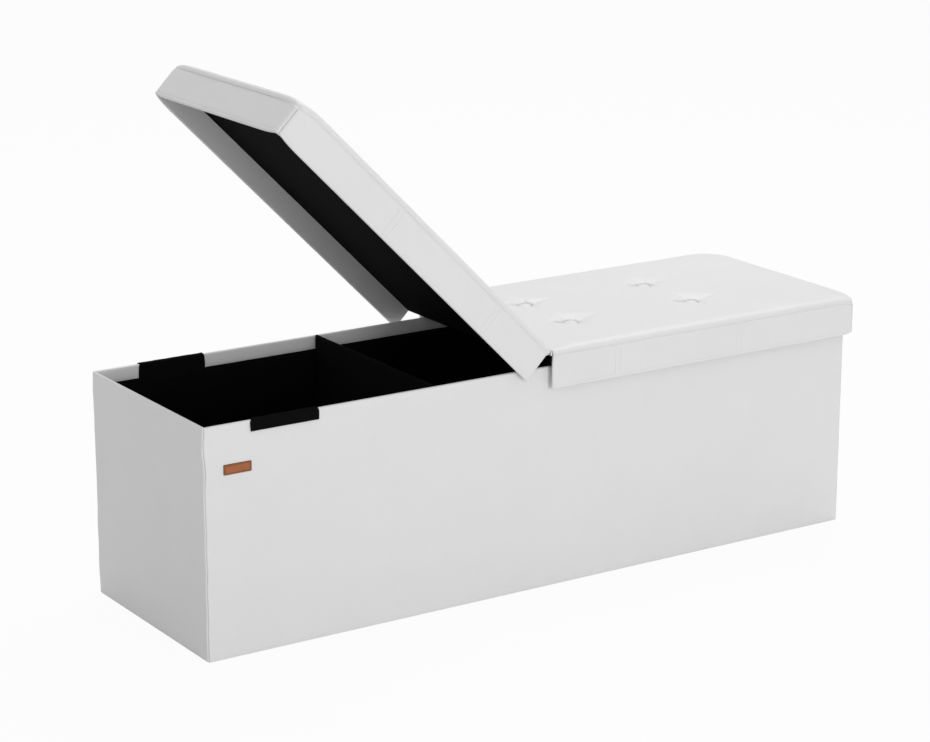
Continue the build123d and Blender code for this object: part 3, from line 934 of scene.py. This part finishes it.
SKIRTS = {
    "front": ("front", HINGE_END, LID_END, (hinge_turn, skirt_corner), CROSS_SEAMS, 160),
    "end": ("right_end", -LID_SIDE, LID_SIDE, (skirt_corner, skirt_corner), (), 170),
    "back": ("back", -LID_END, -HINGE_END, (skirt_corner, hinge_turn), -CROSS_SEAMS, 180),
}
SWAPPED = {"front": "back", "back": "front", "end": "end"}
for half in HALVES:
    for part, (side, start, stop, turns, seams, seed) in SKIRTS.items():
        places = stations(start, stop, SKIRT_STEP, seams, SEAM_REACH, SEAM_STEP)
        panel = sewn_panel(skirt_section, turns, places)
        relief = skirt_relief(panel, seams, seed + SEED_APART * HALVES.index(half))
        outside = skirt_section[:, :1] < ON_FACE
        inside = skirt_section[:, :1] > SKIRT - ON_FACE
        panel[..., 1] += np.where(outside, -relief, 0) + np.where(inside, INNER_SHARE * relief, 0)
        grid = hung(on_side(panel, side, LID_PLAN))
        name = half + "_" + (part if half == "right" else SWAPPED[part])
        panel_piece(name + "_skirt", swung(grid, half), WHITE_CLOTH, half + "_lid", name + "_skirt_cover")
        span = start + LID_CORNER, stop - LID_CORNER
        board = board_corners(span, (SKIN, SKIRT - SKIN), (SKIRT_LOW + HEM_LIFT, SKIRT_TOP - SEAM_DROOP))
        board = swung(on_side(board, side, LID_PLAN), half)
        board_piece(name + "_strip", board, half + "_lid", name + "_skirt_board")


# Lid undersides. Black non-woven cloth stretched under each panel board and up its hinge end, glued at
# the rim inside the skirts.
LID_LOW = 353.7
UNDER_CLOTH = 0.8
UNDER_ROUND = 2.0
UNDER_GAP = 0.3         # between the cloth's rim and the skirts
UNDER_STEP, UNDER_COLUMNS = 8.0, 48
UNDER_SLACK, UNDER_HOLD = (0.07, 110.0), 12.0

under_path = traced(np.vstack([
    [(LID_END - SKIRT - UNDER_GAP, LID_LOW)],
    arc((HINGE_END + UNDER_ROUND, LID_LOW + UNDER_ROUND), UNDER_ROUND, 270, 180),
    [(HINGE_END, SEAM_Z)],
]), UNDER_STEP)
under_side = LID_SIDE - SKIRT - UNDER_GAP
y_line = np.linspace(-under_side, under_side, UNDER_COLUMNS)
s, up = under_path[:, :1], under_path[:, 1:]
loose = ramp(s - HINGE_END, UNDER_HOLD) * ramp(under_side - np.abs(y_line), UNDER_HOLD)
loose = np.where(up < LID_LOW + ON_FACE, loose, 0)
for number, half in enumerate(HALVES):
    slack = loose * bulges(s, y_line, UNDER_SLACK, 240 + number)
    grid = swung(stacked(s, y_line, up - slack), half)[::-1]
    cloth = sheet_piece(
        half + "_underside", grid, UNDER_CLOTH, BLACK_CLOTH, half + "_lid", half + "_under_cloth")


# Tuft buttons. Discs covered in the same white cloth, gathered in under the rim, pulled down by a twine
# that passes through the foam and the board to a plastic washer.
BUTTON_RADIUS = 11.0
BUTTON_FOOT_Z = 374.6
BUTTON_CROWN_Z = 380.8
BUTTON_SIDES = 48
BUTTON_FOOT = ((7.0, 0.0), (9.4, 0.3))  # radius and height of the cloth drawn in under the rim
RIM_ROLL, RIM_RISE = 1.7, 2.0
BUTTON_TIP = 0.35
RIM_POINTS, DOME_POINTS = 8, 9
GATHERS, GATHER_DEPTH = 19, 0.1
GATHER_RADIUS, GATHER_WIDTH = 10.4, 1.8
BUTTON_LEAN = 0.02

rim_roll = arc((BUTTON_RADIUS - RIM_ROLL, BUTTON_FOOT_Z + RIM_RISE), RIM_ROLL, 290, 400, RIM_POINTS)
shoulder, shoulder_z = rim_roll[-1]
dome = np.linspace(shoulder, BUTTON_TIP, DOME_POINTS)[1:]
dome_z = shoulder_z + (BUTTON_CROWN_Z - shoulder_z) * (1 - (dome / shoulder) ** 2)
foot = np.array(BUTTON_FOOT) + (0, BUTTON_FOOT_Z)
button_outline = np.vstack([foot, rim_roll, stacked(dome, dome_z)])
radius, up = button_outline[:, :1], button_outline[:, 1:]
gathered = GATHER_DEPTH * hill(radius - GATHER_RADIUS, GATHER_WIDTH)
turn = np.linspace(0, 2 * np.pi, BUTTON_SIDES + 1)[:-1]
for half in HALVES:
    draw = np.random.default_rng(260 + HALVES.index(half))
    rings, faces, start = [], [], 0
    for middle_s, middle_y in BUTTON_PLACES:
        reach = radius + gathered * np.sin(GATHERS * turn + draw.uniform(0, 6))
        lean = draw.uniform(-BUTTON_LEAN, BUTTON_LEAN, 2)
        x, y = reach * np.cos(turn), reach * np.sin(turn)
        ring = stacked(middle_s + x, middle_y + y, up + lean[0] * x + lean[1] * y)
        ring = np.concatenate([ring, ring[:, :1]], axis=1)
        rows, columns = ring.shape[:2]
        faces += (grid_faces(rows, columns) + start).tolist()
        faces += [list(range(start, start + columns - 1))[::-1]]
        faces += [list(range(start + (rows - 1) * columns, start + rows * columns - 1))]
        rings.append(ring.reshape(-1, 3))
        start += rows * columns
    points = swung(np.vstack(rings), half)
    mesh_piece(half + "_covered_buttons", points, faces, WHITE_CLOTH, half + "_lid", half + "_buttons")

twine, place = new_material("waxed_twine", 0.6, 0.3)
strands = place.stretched(1.0, 1.0, 0.4).noise(3000.0, 2.0)
feed(twine, strands.between((0.52, 0.46, 0.36, 1), (0.74, 0.69, 0.58, 1)), strands, 0.0002)
washer_plastic, place = new_material("washer_plastic", 0.5, 0.4)
scuffs = place.noise(700.0, 4.0)
feed(
    washer_plastic, scuffs.between((0.62, 0.62, 0.6, 1), (0.72, 0.72, 0.7, 1)), scuffs, 0.00005,
    0.45 + 0.2 * scuffs,
)
for half in HALVES:
    dress(half + "_button_twines", twine)
    dress(half + "_button_washers", washer_plastic)


# Hinge strip. A cord sewn into a fold of the white cloth along the middle of the lid. The fold hangs down
# between the two halves, and a black cloth flap is sewn to it.
WELT_RADIUS = 2.0
FLAP_DROP = 18.0
FLAP_THICK = 1.0
FOLD_DROP = 8.0
FOLD_THICK = 2.6
STRIP_SHORT = 1.0       # the fold and the flap start this far below the axis, and end as much short
STRIP_EDGE, STRIP_STEP = 1.0, 9.0
CORD_SIDES, CORD_STATIONS = 16, 96
CORD_THINNING = 0.015, 9.0  # as a share of its girth
CORD_TIP = 0.1          # the cord's ends close to this share of its girth

turn = np.radians(np.linspace(0, 360, CORD_SIDES + 1)[:-1])[:, None]
y_line = np.linspace(-LID_SIDE, LID_SIDE, CORD_STATIONS)
past = np.clip(np.abs(y_line) - (LID_SIDE - WELT_RADIUS), 0, None) / WELT_RADIUS
taper = np.sqrt(np.clip(1 - past ** 2, CORD_TIP ** 2, 1))
girth = WELT_RADIUS * (1 - bulges(y_line, 0 * y_line, CORD_THINNING, 301)) * taper
cord = stacked(np.cos(turn) * girth, y_line, HINGE_Z + np.sin(turn) * girth)
panel_piece("hinge_cord", cord, WHITE_CLOTH, "hinge_strip", "hinge_welt")
for name, drop, thick, finish in (
    ("hinge_flap", FLAP_DROP, FLAP_THICK, BLACK_CLOTH),
    ("hinge_fold", FOLD_DROP, FOLD_THICK, WHITE_CLOTH),
):
    high = drop - STRIP_SHORT
    a, b, swell = slab_faces(2 * LID_SIDE - STRIP_SHORT, high, thick, STRIP_EDGE, STRIP_STEP)
    up = HINGE_Z - STRIP_SHORT - high / 2 + b
    slab_piece(name, stacked(swell, a, up), stacked(-swell, a, up), finish, "hinge_strip")


# Seam threads. White thread in rows of short stitches either side of each cross seam of the skirts, outside
# and in, and along the hem.
STITCH_PITCH = 5.0
STITCH_LENGTH = 3.6
STITCH_ARCH, STITCH_SINK = 0.22, 0.05   # a stitch stands out in its middle, and its ends sink in
STITCH_TIP = 0.04       # its girth at the ends is that at this share of its length
THREAD = 0.34
BEAD = 5                # stations along a stitch, and points round it at each
ROW_CLEAR = 1.0         # rows stop this far from the hem and from the corners,
TOP_CLEAR, INNER_CLEAR = 4.0, 2.0       # and this far from the skirt's top and the lid's underside

thread_white, place = new_material("white_thread", 0.55, 0.35)
twist = place.noise(2500.0, 2.0)
feed(thread_white, twist.between((0.68, 0.68, 0.675, 1), (0.8, 0.8, 0.795, 1)), twist, 0.00008)


def stitches(near, far, out):
    """One bead of thread from each near point to its far point, thickest in the middle, proud of the cloth.

    Rings of points stand round the line at each station, and faces close the two end rings.
    """
    ahead = far - near
    ahead /= np.linalg.norm(ahead, axis=1)[:, None]
    side = np.cross(ahead, out)
    station = np.linspace(0, 1, BEAD)
    girth = THREAD * np.sqrt(np.sin(np.pi * np.clip(station, STITCH_TIP, 1 - STITCH_TIP)))
    turn = 2 * np.pi * np.arange(BEAD) / BEAD
    proud = STITCH_ARCH * np.sin(np.pi * station) - STITCH_SINK
    centre = near[:, None] + station[:, None] * (far - near)[:, None] + proud[:, None] * out[:, None]
    spoke = np.cos(turn)[:, None] * side[:, None] + np.sin(turn)[:, None] * out[:, None]
    points = centre[:, :, None] + girth[:, None, None] * spoke[:, None]
    index = np.arange(len(near) * BEAD ** 2).reshape(len(near), BEAD, BEAD)
    around = np.roll(index, -1, axis=2)
    sides = np.stack([index[:, :-1], around[:, :-1], around[:, 1:], index[:, 1:]], axis=-1).reshape(-1, 4)
    ends = np.vstack([index[:, 0, ::-1], index[:, -1]])
    return points.reshape(-1, 3), sides.tolist() + ends.tolist()


def stitch_ends(start, stop):
    """Where the stitches of one row begin and end between start and stop."""
    count = int((stop - start) / STITCH_PITCH)
    first = start + (stop - start - count * STITCH_PITCH + STITCH_PITCH - STITCH_LENGTH) / 2
    begin = first + STITCH_PITCH * np.arange(count)
    return begin, begin + STITCH_LENGTH


def skirt_point(half, part, along, up, inner=False):
    """Points on the cloth of a skirt of the closed right half, outside or on its inner face."""
    side, _, _, _, seams, seed = SKIRTS[part]
    spots = stacked(along, 0 * along, up)
    relief = skirt_relief(spots, seams, seed + SEED_APART * HALVES.index(half))
    spots[..., 1] = SKIRT + INNER_SHARE * relief if inner else -relief
    return hung(on_side(spots, side, LID_PLAN))


OUTWARD = {"front": (0.0, -1.0, 0.0), "back": (0.0, 1.0, 0.0), "end": (1.0, 0.0, 0.0)}
hem_clear = LID_CORNER + ROW_CLEAR
for half in HALVES:
    near, far, out = [], [], []
    for seam in CROSS_SEAMS:
        for line in (seam - STITCH_OFF, seam + STITCH_OFF):
            for part, sign in (("front", 1), ("back", -1)):
                for inner, high in ((False, SKIRT_TOP - TOP_CLEAR), (True, LID_LOW - INNER_CLEAR)):
                    heights = stitch_ends(SKIRT_LOW + HEM_RISE + ROW_CLEAR, high)
                    for up, ends in zip(heights, (near, far)):
                        ends.append(skirt_point(half, part, np.full_like(up, sign * line), up, inner))
                    facing = np.array(OUTWARD[part]) * (-1 if inner else 1)
                    out.append(np.tile(facing, (len(heights[0]), 1)))
    for part, skirt in SKIRTS.items():
        row = stitch_ends(skirt[1] + hem_clear, skirt[2] - hem_clear)
        for along, ends in zip(row, (near, far)):
            ends.append(skirt_point(half, part, along, np.full_like(along, SKIRT_LOW + HEM_RISE)))
        out.append(np.tile(OUTWARD[part], (len(row[0]), 1)))
    points, faces = stitches(np.vstack(near), np.vstack(far), np.vstack(out))
    points = swung(points, half)
    mesh_piece(half + "_seam_threads", points, faces, (thread_white, "white_leatherette"), half + "_lid")


# Floor, light and camera. A pale floor under soft studio light, seen from the front left and a little
# above, as in a catalogue picture.
FLOOR_SIZE = 16.0
FLOOR_SINK = 0.0004     # metres below the bench
FLOOR_GLOW = 0.94       # share of its own light that the camera sees in the floor
FILL_LIGHT = 0.66
LAMP_SIZE, LAMP_TARGET = 1.4, (0.0, 0.0, 0.2)
CAMERA_LENS = 109.02
CAMERA_PLACE = (-2.3413, -3.5398, 1.5019)
CAMERA_HEADING, CAMERA_DIP = 33.116, 15.769
bpy.context.scene.view_settings.view_transform = "Standard"

floor_mesh = bpy.data.meshes.new("floor")
reach = FLOOR_SIZE / 2
corners = [(x * reach, y * reach, -FLOOR_SINK) for x, y in ((-1, -1), (1, -1), (1, 1), (-1, 1))]
floor_mesh.from_pydata(corners, [], [(0, 1, 2, 3)])
floor = bpy.data.objects.new("floor", floor_mesh)
bpy.context.scene.collection.objects.link(floor)
floor_finish = bpy.data.materials.new("pale_floor")
floor_finish.use_nodes = True
floor_mesh.materials.append(floor_finish)
tree = floor_finish.node_tree
tree.nodes.clear()
start = Socket(tree, None)


def seen_rays(start):
    """1 for rays from the camera, and 0 for the light that falls on surfaces."""
    return start.node("ShaderNodeLightPath", output="Is Camera Ray")


matt = start.node("ShaderNodeBsdfDiffuse", {}, {"Color": (0.74, 0.74, 0.74, 1)})
glow = start.node("ShaderNodeEmission", {}, {"Color": (1, 1, 1, 1), "Strength": 1.0})
white_floor = start.node("ShaderNodeMixShader", {}, {0: seen_rays(start) * FLOOR_GLOW, 1: matt, 2: glow})
output = tree.nodes.new("ShaderNodeOutputMaterial")
tree.links.new(white_floor.output, output.inputs["Surface"])

world = bpy.data.worlds.new("studio")
bpy.context.scene.world = world
world.use_nodes = True
tree = world.node_tree
tree.nodes.clear()
start = Socket(tree, None)
strength = FILL_LIGHT + (1 - FILL_LIGHT) * seen_rays(start)
background = start.node("ShaderNodeBackground", {}, {"Color": (1, 1, 1, 1), "Strength": strength})
output = tree.nodes.new("ShaderNodeOutputWorld")
tree.links.new(background.output, output.inputs["Surface"])


def soft_lamp(name, place, power):
    """A square softbox at place that faces the bench."""
    lamp = bpy.data.lights.new(name, "AREA")
    lamp.size = LAMP_SIZE
    lamp.energy = power
    holder = bpy.data.objects.new(name, lamp)
    bpy.context.scene.collection.objects.link(holder)
    ahead = np.array(LAMP_TARGET) - np.array(place)
    flat = math.hypot(ahead[0], ahead[1])
    holder.location = place
    holder.rotation_euler = (math.atan2(flat, -ahead[2]), 0, math.atan2(ahead[1], ahead[0]) - math.pi / 2)


soft_lamp("back_softbox", (1.3, 1.1, 3.2), 36.0)
soft_lamp("front_softbox", (-0.1, -4.4, 0.85), 45.0)

view = bpy.data.cameras.new("camera")
view.lens = CAMERA_LENS
view.sensor_width = 36.0
camera = bpy.data.objects.new("camera", view)
camera.location = CAMERA_PLACE
camera.rotation_euler = (math.radians(90 - CAMERA_DIP), 0, -math.radians(CAMERA_HEADING))
bpy.context.scene.collection.objects.link(camera)
bpy.context.scene.camera = camera
